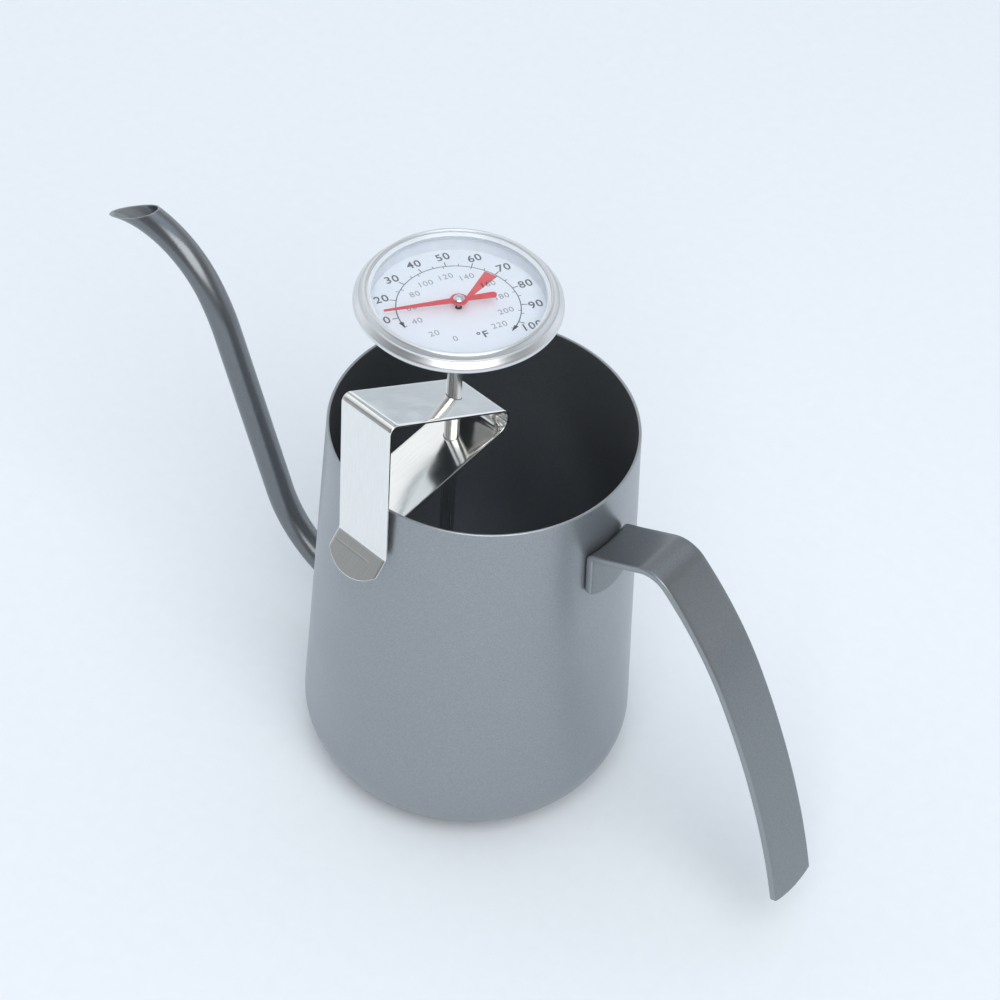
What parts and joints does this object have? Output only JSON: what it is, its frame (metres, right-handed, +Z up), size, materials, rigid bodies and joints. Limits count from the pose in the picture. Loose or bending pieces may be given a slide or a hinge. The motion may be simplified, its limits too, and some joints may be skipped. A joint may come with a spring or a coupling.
{
  "type": "gooseneck kettle",
  "caption": "Pour-over kettle: open tapered vessel, thin gooseneck spout, bent strip handle and a dial thermometer held in a spring clip over the rim.",
  "frame": {"origin": "centre of the flat base, on the surface the kettle stands on", "axes": "+Z up, +X from the kettle's axis towards the handle, so the spout points along -X and the clip is near -Y"},
  "size_m": [0.2493, 0.0943, 0.169],
  "materials": {
    "coat": "satin dark grey coating with a fine metallic grain",
    "polished_steel": "polished stainless steel",
    "satin_steel": "satin stainless steel",
    "bimetal": "plain bimetal wire",
    "brass": "turned brass",
    "dial_white": "printed white enamel, satin",
    "collar_white": "satin moulded plastic",
    "gasket_rubber": "matt black rubber",
    "crystal_glass": "clear flat glass",
    "needle_red": "red painted sheet"
  },
  "bodies": {
    "kettle": {"vessel": "coat", "spout_tube": "coat", "spout_weld": "coat", "handle_strip": "coat"},
    "clip": {"clip": "polished_steel"},
    "stem": {"stem_tube": "polished_steel", "stem_tip_plug": "polished_steel", "calibration_nut": "satin_steel", "bimetal_coil": "bimetal", "lower_bush": "brass", "upper_bush": "brass"},
    "head": {"case_back": "satin_steel", "dial_plate": "dial_white", "dial_spacer": "collar_white", "crystal_gasket": "gasket_rubber", "crystal": "crystal_glass", "bezel_ring": "satin_steel"},
    "hand": {"spindle": "satin_steel", "coil_collet": "brass", "needle": "needle_red", "hub_cap": "polished_steel"}
  },
  "joints": [
    {"name": "clip_lift", "type": "slide", "parent": "kettle", "child": "clip", "axis": [0, 0, 1], "range_m": [0, 0.095]},
    {"name": "thermometer_slide", "type": "slide", "parent": "clip", "child": "stem", "axis": [0, 0, 1], "range_m": [-0.012, 0.06]},
    {"name": "calibration_turn", "type": "hinge", "parent": "stem", "child": "head", "pos_m": [-0.00262, -0.01032, 0.13], "axis": [0, 0, 1], "continuous": true},
    {"name": "needle_turn", "type": "hinge", "parent": "stem", "child": "hand", "pos_m": [-0.00262, -0.01032, 0.13], "axis": [0, 0, 1], "range_deg": [-230, 70], "stiffness_Nm_per_rad": 0.000002}
  ]
}
